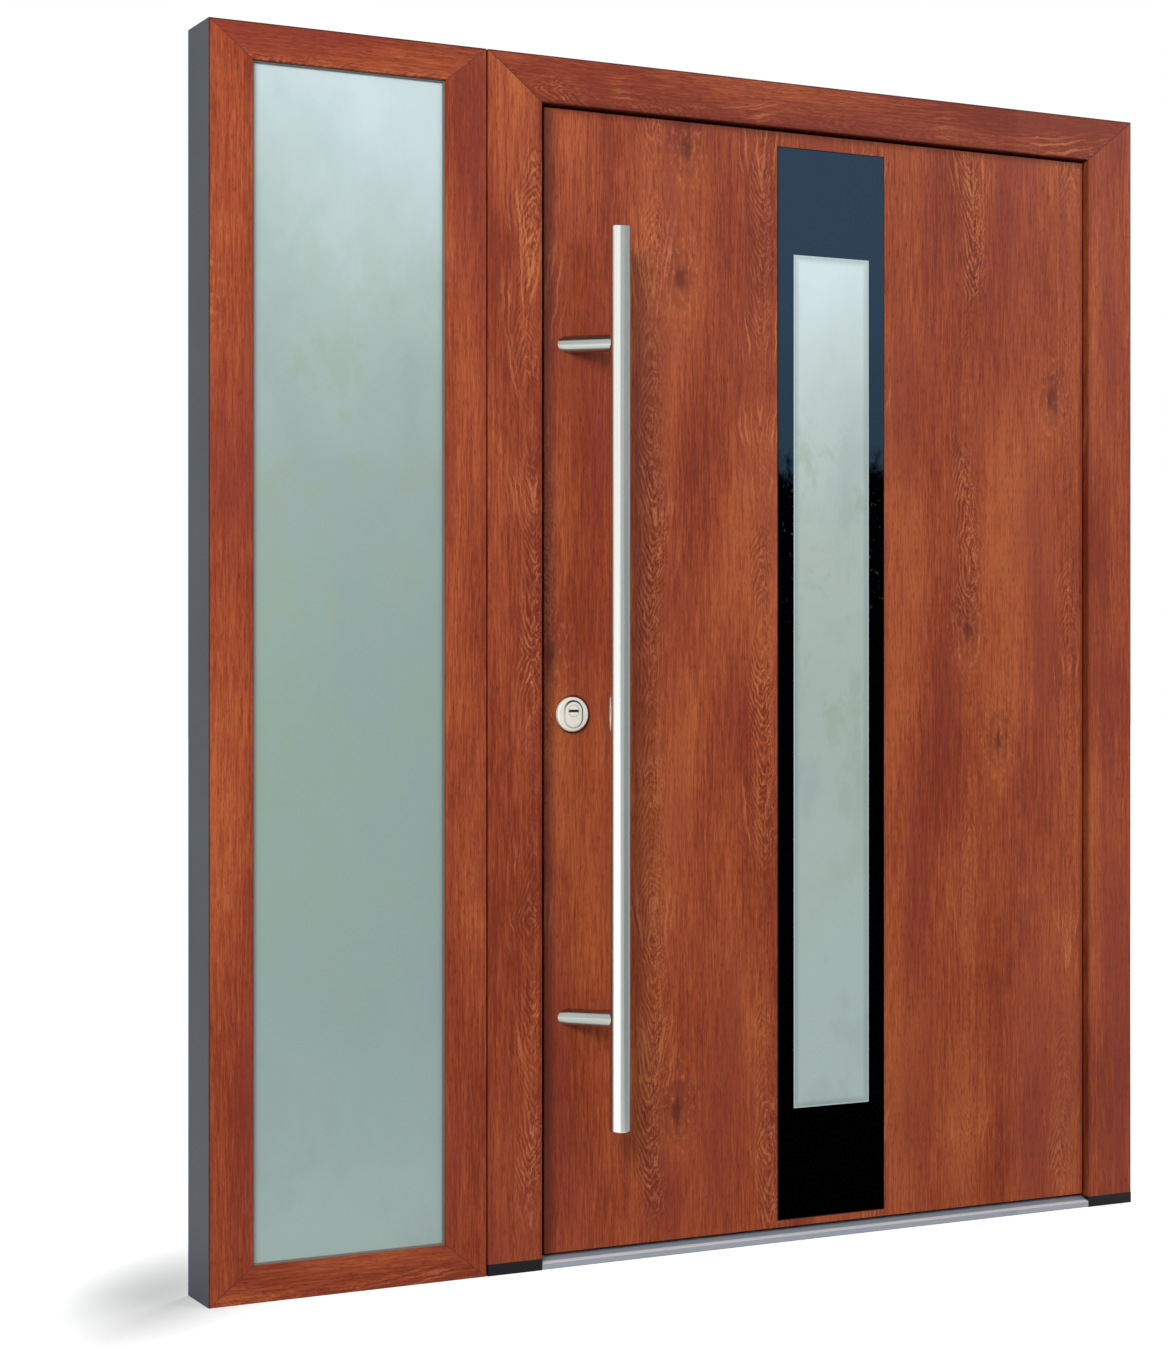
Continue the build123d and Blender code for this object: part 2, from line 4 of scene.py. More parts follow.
import bmesh
import bpy
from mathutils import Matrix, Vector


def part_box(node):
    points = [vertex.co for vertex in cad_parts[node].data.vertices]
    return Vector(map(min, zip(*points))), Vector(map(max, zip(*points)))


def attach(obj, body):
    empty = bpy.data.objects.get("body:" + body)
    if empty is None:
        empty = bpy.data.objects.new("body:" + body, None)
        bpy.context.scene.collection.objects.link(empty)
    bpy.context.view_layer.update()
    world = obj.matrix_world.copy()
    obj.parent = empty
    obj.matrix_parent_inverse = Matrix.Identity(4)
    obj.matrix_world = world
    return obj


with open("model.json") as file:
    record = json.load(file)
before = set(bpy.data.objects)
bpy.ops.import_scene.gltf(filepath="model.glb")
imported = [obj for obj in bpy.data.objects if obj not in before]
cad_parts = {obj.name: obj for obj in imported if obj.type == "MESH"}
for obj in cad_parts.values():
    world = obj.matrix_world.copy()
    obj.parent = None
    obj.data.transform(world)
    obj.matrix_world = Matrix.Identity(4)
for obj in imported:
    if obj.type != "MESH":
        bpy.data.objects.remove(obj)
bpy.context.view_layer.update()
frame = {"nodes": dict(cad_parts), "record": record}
nodes = frame["nodes"]
MM = 0.001

# Places read from the frame, in metres: the outside faces -Y, and +X is to the right seen from outside
unit_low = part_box("sidelight_left_stile")[0]
unit_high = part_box("head")[1]
outer_face = unit_low.y
head_low, head_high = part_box("head")
lock_low, lock_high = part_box("lock_jamb")
hinge_low, hinge_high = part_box("hinge_jamb")
left_low, left_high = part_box("sidelight_left_stile")
right_low, right_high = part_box("sidelight_right_stile")
top_rail_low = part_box("sidelight_top_rail")[0]
bottom_rail_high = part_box("sidelight_bottom_rail")[1]
skin_low, skin_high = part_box("leaf_outer_skin")
strip_low, strip_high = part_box("strip_border")
window_low, window_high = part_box("strip_window_pane")
bar_low, bar_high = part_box("pull_bar")
guard_low, guard_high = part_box("cylinder_guard")
disc_low, disc_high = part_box("key_disc")
rose_low, rose_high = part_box("outer_rose")
rose_x, rose_z = (rose_low.x + rose_high.x) / 2, (rose_low.z + rose_high.z) / 2
rose_radius = (rose_high.x - rose_low.x) / 2
door_lip_back = outer_face + 40 * MM
glazing_lip_back = outer_face + 6 * MM
leaf_step = skin_low.y + 33 * MM


# Shader and geometry trees
class Value:
    """One socket of a tree. Sums, products and comparisons of it are written as Python expressions."""

    def __init__(self, tree, socket):
        self.tree = tree
        self.socket = socket

    def math(self, operation, *others):
        return self.tree.node("ShaderNodeMath", {"operation": operation}, dict(enumerate((self, *others))))

    def __add__(self, other):
        return self.math("ADD", other)

    def __sub__(self, other):
        return self.math("SUBTRACT", other)

    def __rsub__(self, other):
        return self.tree.node("ShaderNodeMath", {"operation": "SUBTRACT"}, {0: other, 1: self})

    def __mul__(self, other):
        return self.math("MULTIPLY", other)

    def __truediv__(self, other):
        return self.math("DIVIDE", other)

    def __pow__(self, other):
        return self.math("POWER", other)

    def __abs__(self):
        return self.math("ABSOLUTE")

    def __gt__(self, other):
        return self.math("GREATER_THAN", other)

    def __lt__(self, other):
        return self.math("LESS_THAN", other)

    __radd__ = __add__
    __rmul__ = __mul__

    def least(self, other):
        return self.math("MINIMUM", other)

    def most(self, other):
        return self.math("MAXIMUM", other)

    def ramp(self, start, end):
        """0 up to start, 1 from end on, and a smooth rise between; start may be the larger."""
        low, high = min(start, end), max(start, end)
        first, last = (0, 1) if start < end else (1, 0)
        return self.tree.node(
            "ShaderNodeMapRange", {"interpolation_type": "SMOOTHSTEP"},
            {"Value": self, "From Min": low, "From Max": high, "To Min": first, "To Max": last})

    def length(self):
        return self.tree.node("ShaderNodeVectorMath", {"operation": "LENGTH"}, {0: self}, "Value")


class Tree:
    """A node tree whose nodes are added one by one."""

    def __init__(self, tree):
        self.nodes = tree

    def node(self, kind, settings=None, inputs=None, output=0):
        made = self.nodes.nodes.new(kind)
        for key, value in (settings or {}).items():
            if key == "stops":
                stops = made.color_ramp.elements
                while len(stops) < len(value):
                    stops.new(0.5)
                for stop, (position, colour) in zip(stops, value):
                    stop.position = position
                    stop.color = colour
            else:
                setattr(made, key, value)
        for key, value in (inputs or {}).items():
            if isinstance(value, Value):
                self.nodes.links.new(value.socket, made.inputs[key])
            else:
                made.inputs[key].default_value = value
        return Value(self, made.outputs[output] if made.outputs else None)

    def vector(self, x, y, z=0.0):
        return self.node("ShaderNodeCombineXYZ", {}, {0: x, 1: y, 2: z})

    def noise(self, where, scale=1.0, detail=2.0, roughness=0.5):
        inputs = {"Vector": where, "Scale": scale, "Detail": detail, "Roughness": roughness}
        return self.node("ShaderNodeTexNoise", {"noise_dimensions": "3D"}, inputs)

    def mix(self, factor, first, second):
        """Two colours: the first where factor is 0, the second where it is 1."""
        return self.node("ShaderNodeMix", {"data_type": "RGBA"}, {0: factor, 6: first, 7: second}, 2)

    def stops(self, factor, *stops):
        return self.node("ShaderNodeValToRGB", {"stops": stops}, {0: factor})

    def bump(self, height, strength, distance):
        inputs = {"Height": height, "Strength": strength, "Distance": distance}
        return self.node("ShaderNodeBump", {}, inputs)

    def seen_directly(self):
        """1 for what the camera sees, straight or in metal and glass."""
        rays = ("Is Camera Ray", "Is Glossy Ray", "Is Transmission Ray")
        camera, glossy, through = (self.node("ShaderNodeLightPath", output=ray) for ray in rays)
        return camera.most(glossy).most(through)


class Finish(Tree):
    """A surface finish, on the object's own coordinates."""

    def __init__(self, name):
        self.material = bpy.data.materials.new(name)
        self.material.use_nodes = True
        self.material.node_tree.nodes.clear()
        super().__init__(self.material.node_tree)
        self.place = self.node("ShaderNodeTexCoord", output="Object")
        self.x, self.y, self.z = (
            self.node("ShaderNodeSeparateXYZ", {}, {0: self.place}, axis) for axis in range(3))

    def surface(self, **inputs):
        """The finished surface, from the shader's own socket names with _ for a space."""
        named = {key.replace("_", " "): value for key, value in inputs.items()}
        return self.shown(self.node("ShaderNodeBsdfPrincipled", {}, named))

    def shown(self, shader):
        self.node("ShaderNodeOutputMaterial", {}, {"Surface": shader})
        return self.material


def linear(red, green, blue):
    """A colour as seen on a screen, 0 to 255, as a shader's linear one."""
    def straight(part):
        return part / 12.92 if part <= 0.04045 else ((part + 0.055) / 1.055) ** 2.4

    return (straight(red / 255), straight(green / 255), straight(blue / 255), 1.0)


# Oak-look foil
foil_light = linear(182, 94, 52)
foil_gold = linear(208, 122, 74)
foil_mid = linear(158, 71, 39)
foil_dark = linear(128, 48, 27)
foil_red = linear(134, 52, 40)
foil_line = linear(92, 32, 19)
foil_knot = linear(84, 30, 26)
foil_edge = linear(58, 26, 22)
foil_shade = linear(66, 20, 14)
flower_spacing = 0.2275
flower_start = -0.303
arch_rise = 0.0205
arch_pitch = 0.0072
arch_turn = 0.46
knot_width = 14 * MM
knot_height = 30 * MM
knot_tail = 60 * MM

leaf_knots = [(-0.006, 1.967), (-0.016, 1.734), (-0.276, 1.064), (-0.026, 0.252), (0.603, 1.112),
              (0.673, 0.902), (0.798, 1.555)]
stile_knots = [(-0.921, 1.698), (-0.907, 1.642)]


def arches(finish, across, along, quick, seed):
    """Columns of stacked arches: how far they sway, their dark rings and their light lines."""
    column = ((across - flower_start) / flower_spacing + 0.5).math("FLOOR")
    sway = finish.noise(finish.vector(column * 3.7, along * 2.2, seed + 0.5), 1.0, 3.0) - 0.5
    local = across - flower_start - column * flower_spacing + sway * 0.09 + quick * 0.014
    rise = (along + column * 0.37 + seed * 0.19).math("PINGPONG", arch_turn)
    crowd = finish.noise(finish.vector(column * 2.9, along * 6.0, seed + 2.5), 1.0, 1.0)
    spread = (local * local + 0.00005).math("SQRT")
    phase = rise / arch_rise + spread / arch_pitch + crowd * 7.0 + quick * 3.6
    wave = (phase * (2 * math.pi)).math("SINE") * 0.5 + 0.5
    strength = finish.noise(finish.vector(column * 5.3, along * 3.1, seed + 1.5), 1.0, 2.0).ramp(0.42, 0.60)
    flower = abs(local).ramp(0.040, 0.006) * (strength * 0.85 + 0.15)
    dashes = finish.noise(finish.vector(across * 110, along * 34, seed + 2), 1.0, 2.0).ramp(0.40, 0.60)
    rings = wave ** 2.4 * flower * (dashes * 0.7 + 0.3)
    glints = (1 - wave) ** 3.0 * flower * (1.3 - dashes)
    feather = finish.noise(finish.vector((abs(local) - along * 0.13) * 170, along * 7, seed + 13), 1.0, 2.0)
    where = finish.noise(finish.vector(column * 7.1, along * 4.4, seed + 15), 1.0, 1.0).ramp(0.50, 0.62)
    needles = feather.ramp(0.52, 0.64) * abs(local).ramp(0.066, 0.026) * where
    return sway, rings, glints.most(needles)


def knotted(finish, colour, across, along, knots, quick, streaks, fine, seed):
    """The wood's colour with its knots: a dark heart in thin rings, light curls and a light tail below."""
    curls = finish.noise(finish.vector(across * 150, along * 75, seed + 17), 1.0, 3.0).ramp(0.53, 0.66)
    for knot_across, knot_along in knots:
        aside = (across - knot_across) / knot_width + quick * 2.4
        reach = finish.vector(aside, (along - knot_along) / knot_height).length()
        below = finish.vector(aside / 2.6, (along - knot_along + knot_tail * 0.75) / knot_tail).length()
        swirl = ((reach * 5.0 + quick * 6.0).math("SINE") * 0.5 + 0.5) * reach.ramp(3.6, 1.2)
        colour = finish.mix(below.ramp(1.5, 0.2) * (fine * 0.9), colour, foil_light)
        colour = finish.mix(curls * reach.ramp(4.4, 1.6) * 0.45, colour, foil_gold)
        colour = finish.mix(swirl * 0.30, colour, foil_line)
        colour = finish.mix((reach + streaks * 2.2).ramp(2.7, 1.2) * 0.66, colour, foil_knot)
    return colour


def oak(finish, across, along, knots=(), seed=0.0, lift=0.0):
    """Colour and height of oak grain that runs along one way; lift makes it lighter or darker."""
    quick = finish.noise(finish.vector(across * 60, along * 26, seed), 1.0, 3.0, 0.7) - 0.5
    sway, rings, light_lines = arches(finish, across, along, quick, seed)
    bent = across + quick * 0.002 + sway * 0.01
    wide = finish.noise(finish.vector(bent * 8.0, along * 1.9, seed + 3), 1.0, 1.5, 0.5)
    streaks = finish.noise(finish.vector(bent * 90, along * 1.8, seed + 5), 1.0, 2.0, 0.6)
    fine = finish.noise(finish.vector(bent * 300, along * 14, seed + 7), 1.0, 4.0, 0.8)
    tone = wide * 0.34 + streaks * 0.14 + fine * 0.50 + 0.01 + lift
    colour = finish.stops(tone, (0.42, foil_dark), (0.50, foil_mid), (0.58, foil_light))
    reddish = finish.noise(finish.vector(bent * 11, along * 1.7, seed + 11), 1.0, 1.5).ramp(0.46, 0.68)
    colour = finish.mix(reddish * 0.55, colour, foil_red)
    colour = finish.mix(light_lines * 0.62, colour, foil_gold)
    colour = finish.mix(rings * 0.68, colour, foil_line)
    pores = finish.noise(finish.vector(bent * 640, along * 60, seed + 9), 1.0, 2.0).ramp(0.54, 0.68)
    colour = finish.mix(pores * 0.48, colour, foil_line)
    if knots:
        colour = knotted(finish, colour, across, along, knots, quick, streaks, fine, seed)
    return colour, rings * 0.6 + pores * 0.8 + fine * 0.5


# Coats and shades of the profiles
def powder_coat(finish):
    """Fine-textured anthracite coat: its colour and grain height."""
    grain = finish.noise(finish.place, 900.0, 3.0, 0.6)
    cloud = finish.noise(finish.place, 3.0, 2.0)
    return finish.mix(cloud.ramp(0.3, 0.7), linear(64, 69, 75), linear(74, 80, 87)), grain


def joint_line(finish, outer, inner):
    """1 on the hairline of a mitred corner, from its outer to its inner point (x, z)."""
    run, rise = inner[0] - outer[0], inner[1] - outer[1]
    length = math.hypot(run, rise)
    off_line = abs((finish.x - outer[0]) * (rise / length) - (finish.z - outer[1]) * (run / length))
    return off_line.ramp(1.1 * MM, 0.4 * MM)


def rose_shadow(finish):
    """Painted shadow: the dark line where the round rose sits on the leaf, set a little to the side away
    from the light.
    """
    off = finish.vector(finish.x - rose_x - 3 * MM, finish.z - rose_z).length() - rose_radius
    return off.ramp(5.5 * MM, 2 * MM) * 0.86


lock_side_reach = 34 * MM
head_reach = 16 * MM
hinge_side_reach = 12 * MM
lip_reach = 11 * MM


def leaf_shade(finish):
    """Painted shade: the leaf's face grows darker beside the frame's lip, most on the lock side."""
    from_lock = (finish.x - skin_low.x).ramp(lock_side_reach, 0.0)
    from_top = (skin_high.z - finish.z).ramp(head_reach, 0.0)
    from_hinge = (skin_high.x - finish.x).ramp(hinge_side_reach, 0.0)
    edges = (from_lock * 0.74).most(from_top * 0.42).most(from_hinge * 0.40)
    return edges.most(rose_shadow(finish))


def lip_shade(finish):
    """Painted shade along the door frame's rounded inner edge."""
    off = (lock_high.x - finish.x).most(finish.x - hinge_low.x).most(finish.z - head_low.z)
    return off.ramp(lip_reach, 1 * MM) * 0.38


def foil(name, upright, back, knots=(), seed=0.0, mitres=(), outer_sides=True, lift=0.0, shade=None):
    """Wood-look foil on the front and the reveals, powder coat on the outer sides and the inside; shade,
    where given, is painted shade on the wood.
    """
    finish = Finish(name)
    across = (finish.x - finish.y) if upright else (finish.z + finish.y)
    along = finish.z if upright else finish.x
    wood, relief = oak(finish, across, along, knots, seed, lift)
    for outer, inner, depth in mitres:
        wood = finish.mix(joint_line(finish, outer, inner) * depth, wood, foil_edge)
    coat, grain = powder_coat(finish)
    coated = finish.y > back - 0.2 * MM
    if outer_sides:
        to_side = (unit_high.x - abs(finish.x)).least(unit_high.z - finish.z)
        wood = finish.mix(to_side.ramp(2.8 * MM, 1.2 * MM) * 0.85, wood, foil_edge)
        coated = coated.most((to_side < 0.4 * MM) * (finish.y > outer_face + 1.6 * MM))
    if shade:
        # painted shade from the given shade function
        wood = finish.mix(shade(finish), wood, foil_shade)
    colour = finish.mix(coated, wood, coat)
    height = relief * (1 - coated) * 0.5 + grain * coated * 0.35
    return finish.surface(
        Base_Color=colour, Roughness=coated * 0.10 + 0.46,
        Normal=finish.bump(height, 0.35, 0.6 * MM), Specular_IOR_Level=0.2)


def plain_coat():
    finish = Finish("anthracite_coat")
    colour, grain = powder_coat(finish)
    return finish.surface(Base_Color=colour, Roughness=0.55, Normal=finish.bump(grain, 0.25, 0.4 * MM))


# Glass
# Frosted panes: colours partly the glass's own and partly painted reflection of the sky above and of trees
# in the middle
tint_heights = (0.0, 0.22, 0.45, 0.66, 0.82, 1.0)
sidelight_glass_and_reflection = (
    (165, 187, 182), (151, 173, 168), (146, 170, 160), (151, 170, 166), (168, 188, 183), (202, 220, 226))
window_glass_and_reflection = (
    (182, 202, 197), (178, 198, 192), (174, 192, 184), (180, 195, 188), (194, 211, 208), (216, 234, 238))
tree_reflection_tint = (150, 169, 148)
sky_reflection_tint = (148, 164, 170)
painted_reveal_shade = (128, 102, 92)
painted_edge_shade = (104, 124, 122)
rim_highlight = (196, 208, 214)


def frosted_glass(name, low, high, rim, seed, tints):
    """Sand-blasted glass, partly its own colour and partly painted reflection: tints lighter and bluer
    towards the head, soft clouds and greenish tree shapes; painted shade at the edges, and a rim of painted
    highlight or a reveal of painted shade.
    """
    finish = Finish(name)
    height = (finish.z - low.z) / (high.z - low.z)
    slow = finish.noise(finish.vector(finish.x * 4.0 + seed, seed, finish.z * 2.4), 1.0, 5.0, 0.62) - 0.5
    leafy = finish.noise(finish.vector(finish.x * 15.0, seed, finish.z * 10.0), 1.0, 5.0, 0.7) - 0.5
    colour = finish.stops(height + slow * 0.30, *zip(tint_heights, (linear(*tint) for tint in tints)))
    # painted reflection of the sky, bluer towards the head
    blue = (slow * -1).ramp(0.0, 0.14) * height.ramp(0.95, 0.60)
    colour = finish.mix(blue * 0.40, colour, linear(*sky_reflection_tint))
    # painted reflection of trees, greenish in the middle
    green = (leafy + slow * 0.8).ramp(0.0, 0.16) * height.ramp(0.10, 0.50) * height.ramp(0.93, 0.72)
    colour = finish.mix(green * 0.40, colour, linear(*tree_reflection_tint))
    # painted shade towards the pane's edges, from the frame and gasket
    to_edge = (finish.x - low.x).least(high.x - finish.x).least((finish.z - low.z).least(high.z - finish.z))
    colour = finish.mix(to_edge.ramp(16 * MM, 1 * MM) * 0.40, colour, linear(*painted_edge_shade))
    if rim:
        # painted highlight along the pane's rim
        colour = finish.mix(to_edge.ramp(rim, rim * 0.6) * 0.8, colour, linear(*rim_highlight))
    else:
        # painted shade, brownish, along the pane's left edge by the reveal
        colour = finish.mix((finish.x - low.x).ramp(34 * MM, 8 * MM) * 0.9, colour, linear(*painted_reveal_shade))
    return finish.surface(Base_Color=colour, Roughness=0.38, Coat_Weight=0.3, Coat_Roughness=0.06,
                          Specular_IOR_Level=0.4)


def clear_glass():
    finish = Finish("clear_glass")
    film = finish.noise(finish.place, 6.0, 3.0)
    return finish.surface(Base_Color=linear(222, 238, 232), Roughness=film * 0.03 + 0.01,
                          Transmission_Weight=0.9, IOR=1.45, Alpha=0.5)


def black_glass():
    """Enamelled black glass with a painted reflection: slate blue sky above a broken tree line, light
    specks of leaves below it, and black further down.
    """
    finish = Finish("black_glass")
    reflected_tree_line = finish.noise(finish.vector(finish.x * 26, 0.0, finish.z * 14), 1.0, 5.0, 0.7)
    reflected_sky = (finish.z + (reflected_tree_line - 0.5) * 0.24).ramp(1.38, 1.44)
    upper = finish.mix(finish.z.ramp(1.4, 1.8), linear(42, 60, 76), linear(48, 67, 85))
    reflected_leaves = finish.noise(finish.vector(finish.x * 60, 0.0, finish.z * 75), 1.0, 3.0, 0.7).ramp(0.60, 0.70)
    reflected_leaves = reflected_leaves * finish.z.ramp(1.10, 1.22) * finish.z.ramp(1.42, 1.34)
    colour = finish.mix(reflected_sky, finish.mix(reflected_leaves * 0.5, linear(2, 2, 3), linear(84, 96, 100)), upper)
    return finish.surface(Base_Color=colour, Roughness=0.05, Specular_IOR_Level=0.0, Coat_Weight=reflected_sky * 0.1)


# Metals, rubber and plastics
def brushed_steel(name, lines_along, painted_shade=0):
    """Stainless steel with fine lines; lines_along gives the pattern's place, and the darkening argument
    lowers the colour as painted shade.
    """
    finish = Finish(name)
    lines = finish.noise(lines_along(finish), 1.0, 3.0, 0.6)
    colour = finish.mix(lines.ramp(0.3, 0.7), linear(226 - painted_shade, 230 - painted_shade, 226 - painted_shade),
                        linear(243 - painted_shade, 246 - painted_shade, 240 - painted_shade))
    return finish.surface(Base_Color=colour, Metallic=1.0, Roughness=lines * 0.12 + 0.16,
                          Normal=finish.bump(lines, 0.08, 0.2 * MM))


def satin_nickel(name, dark):
    """Cream-white satin plating; dark gives where shade is painted, in a slot or a gap."""
    finish = Finish(name)
    haze = finish.noise(finish.vector(finish.x * 300, finish.y * 300, finish.z * 900), 1.0, 3.0)
    colour = finish.mix(haze.ramp(0.3, 0.7), linear(246, 242, 230), linear(255, 252, 243))
    shade = dark(finish)
    # painted shade: near black, and less metallic, where dark marks it
    colour = finish.mix(shade, colour, linear(9, 9, 8))
    return finish.surface(Base_Color=colour, Metallic=(1 - shade) * 0.16, Roughness=haze * 0.1 + 0.3,
                          Normal=finish.bump(haze, 0.06, 0.2 * MM))


slot_length = 18.8 * MM
slot_height = 4.4 * MM
disc_x = (disc_low.x + disc_high.x) / 2
disc_z = (disc_low.z + disc_high.z) / 2


def slot_shade(finish):
    """Painted shade in the key slot and on a rim round it."""
    return (abs(finish.x - disc_x) < slot_length / 2) * (abs(finish.z - disc_z) < slot_height / 2)


def guard_gap(finish):
    """Painted shade in the fine gap round the oval guard, darkest on the side away from the light, and
    round the disc in it.
    """
    straight = (guard_high.z - guard_low.z - guard_high.x + guard_low.x) / 2
    radius = (guard_high.x - guard_low.x) / 2
    aside = finish.x - (guard_low.x + guard_high.x) / 2
    level = finish.z - (guard_low.z + guard_high.z) / 2
    beyond = (abs(level) - straight).most(0.0)
    off_guard = abs(finish.vector(aside, beyond).length() - radius - 0.3 * MM)
    from_disc = finish.vector(aside, finish.z - disc_z).length()
    off_disc = abs(from_disc - (disc_high.x - disc_low.x) / 2 - 0.2 * MM)
    # painted shade, darker on the top and right, away from the light
    shade = (level + aside).ramp(-22 * MM, 18 * MM) * 0.72 + 0.28
    return (off_guard.ramp(2.0 * MM, 1.0 * MM) * shade).most(off_disc.ramp(0.8 * MM, 0.4 * MM) * 0.55)


nose_low = 11 * MM
nose_high = 13 * MM


def anodised():
    """Satin anodised aluminium, with a painted highlight along the threshold's rounded nose."""
    finish = Finish("anodised_aluminium")
    lines = finish.noise(finish.vector(finish.x * 12, finish.y * 1600, finish.z * 1600), 1.0, 3.0)
    colour = finish.mix(lines, linear(150, 157, 169), linear(174, 180, 190))
    # painted highlight on the rounded nose
    nose_highlight = finish.z.ramp(nose_low - 1 * MM, nose_low) * finish.z.ramp(nose_high + 1 * MM, nose_high)
    colour = finish.mix(nose_highlight * 0.95, colour, linear(240, 245, 250))
    return finish.surface(Base_Color=colour, Metallic=0.35, Roughness=lines * 0.1 + 0.4)


def matt(name, shade, roughness, grain=500.0):
    """Rubber, plastic or foam: one dull colour with a fine grain."""
    finish = Finish(name)
    speck = finish.noise(finish.place, grain, 2.0)
    colour = finish.mix(speck, linear(*shade), linear(*(value + 12 for value in shade)))
    return finish.surface(Base_Color=colour, Roughness=roughness, Specular_IOR_Level=0.2,
                          Normal=finish.bump(speck, 0.1, 0.3 * MM))


# Finishes of the frame's own nodes
door_left_mitre = ((head_low.x, unit_high.z), (lock_high.x, head_low.z))
door_right_mitre = ((head_high.x, unit_high.z), (hinge_low.x, head_low.z))
side_mitres = {
    (side, level): ((outer_x, outer_z), (sight_x, sight_z))
    for side, outer_x, sight_x in (("left", left_low.x, left_high.x), ("right", right_high.x, right_low.x))
    for level, outer_z, sight_z in (
        ("top", unit_high.z, top_rail_low.z), ("bottom", 0.0, bottom_rail_high.z))
}


def side_joints(*corners):
    return [(*side_mitres[corner], 0.45) for corner in corners]


anthracite = plain_coat()
rubber = matt("rubber", (20, 21, 23), 0.7)
steel_bar = brushed_steel("steel_bar", lambda f: f.vector(f.x * 900, f.y * 900, f.z * 2.5))
# Brackets and plates are darker copies of the bar's steel: painted shade
steel_bracket = brushed_steel(
    "steel_bracket", lambda f: f.vector((f.x + f.y) * 900, f.z * 900, (f.x - f.y) * 5), painted_shade=60)
steel_plate = brushed_steel("steel_plate", lambda f: f.vector(f.x * 40, f.y * 1500, f.z * 30), painted_shade=24)
finishes = {
    "hinge_jamb": foil("foil_hinge_jamb", True, door_lip_back, seed=2.0, mitres=[(*door_right_mitre, 0.85)],
                       shade=lip_shade),
    "lock_jamb": foil("foil_lock_jamb", True, door_lip_back, seed=6.5, mitres=[(*door_left_mitre, 0.85)],
                      lift=-0.028, shade=lip_shade),
    "head": foil("foil_head", False, door_lip_back, seed=6.0,
                 mitres=[(*door_left_mitre, 0.85), (*door_right_mitre, 0.85)],
                 lift=-0.055, shade=lip_shade),
    "sidelight_left_stile": foil("foil_left_stile", True, glazing_lip_back, stile_knots, 8.0,
                                 side_joints(("left", "top"), ("left", "bottom"))),
    "sidelight_right_stile": foil("foil_right_stile", True, glazing_lip_back, seed=10.0,
                                  mitres=side_joints(("right", "top"), ("right", "bottom")), lift=-0.02),
    "sidelight_top_rail": foil("foil_top_rail", False, glazing_lip_back, seed=12.0,
                               mitres=side_joints(("left", "top"), ("right", "top"))),
    "sidelight_bottom_rail": foil("foil_bottom_rail", False, glazing_lip_back, seed=14.0,
                                  mitres=side_joints(("left", "bottom"), ("right", "bottom"))),
    "leaf_outer_skin": foil("foil_leaf", True, skin_high.y + 1 * MM, leaf_knots, outer_sides=False,
                            lift=0.008, shade=leaf_shade),
    "sidelight_gasket": matt("grey_gasket", (122, 116, 110), 0.6),
    "sidelight_outer_pane": frosted_glass(
        "frosted_sidelight", *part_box("sidelight_gasket"), 0, 3.0, sidelight_glass_and_reflection),
    "strip_window_pane": frosted_glass(
        "frosted_window", window_low, window_high, 3 * MM, 9.0, window_glass_and_reflection),
    "strip_border": black_glass(),
    "threshold": anodised(),
    "pull_bar": steel_bar,
    "upper_pull_bracket": steel_bracket,
    "lower_pull_bracket": steel_bracket,
    "outer_rose": satin_nickel("nickel_rose", guard_gap),
    "cylinder_guard": satin_nickel("nickel_guard", guard_gap),
    "key_disc": satin_nickel("nickel_disc", slot_shade),
}
stepped = foil("foil_leaf_edge", True, leaf_step, outer_sides=False)
for name in ("leaf_lock_stile", "leaf_hinge_stile", "leaf_top_rail"):
    finishes[name] = stepped
by_slot = {
    "anthracite": anthracite, "rubber": rubber, "aluminium": finishes["threshold"],
    "dark_plastic": matt("dark_plastic", (15, 16, 19), 0.6), "foam": matt("foam", (196, 190, 172), 0.9),
    "clear_glass": clear_glass(), "stainless_steel": steel_plate, "wood_foil": finishes["leaf_outer_skin"],
    "frosted_glass": finishes["strip_window_pane"], "dark_glass": finishes["strip_border"],
}
slot_of = {row["node"]: row["material_slot"] for row in frame["record"]["subparts"]}
for name, node in nodes.items():
    finish = finishes.get(name, by_slot[slot_of[name]])
    if not node.material_slots:
        node.data.materials.append(finish)
    for place in node.material_slots:
        place.material = finish


# Pieces that the frame leaves to this scene
def finished(name, mesh, finish, body):
    mesh.name = name
    mesh.materials.clear()
    mesh.materials.append(finish)
    piece = bpy.data.objects.new(name, mesh)
    bpy.context.scene.collection.objects.link(piece)
    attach(piece, body)
    return piece


def bead(name, low, high, face_y, outwards, width, rise, body):
    """A round rubber bead laid in a rectangle on an upright face, its middle line from low to high."""
    section = [(-0.5, 0.0), (-0.36, 0.6), (-0.14, 0.96), (0.14, 0.96), (0.36, 0.6), (0.5, 0.0)]
    corners = [(low[0], low[1], -1, -1), (high[0], low[1], 1, -1),
               (high[0], high[1], 1, 1), (low[0], high[1], -1, 1)]
    work = bmesh.new()
    rings = []
    for x, z, side_x, side_z in corners:
        cut = [(x + side_x * aside * width, face_y + outwards * lift * rise, z + side_z * aside * width)
               for aside, lift in section]
        rings.append([work.verts.new(place) for place in cut])
    for ring, following in zip(rings, rings[1:] + rings[:1]):
        for index in range(len(section)):
            after = (index + 1) % len(section)
            work.faces.new((ring[index], ring[after], following[after], following[index]))
    bmesh.ops.recalc_face_normals(work, faces=work.faces)
    mesh = bpy.data.meshes.new(name)
    work.to_mesh(mesh)
    work.free()
    return finished(name, mesh, rubber, body)


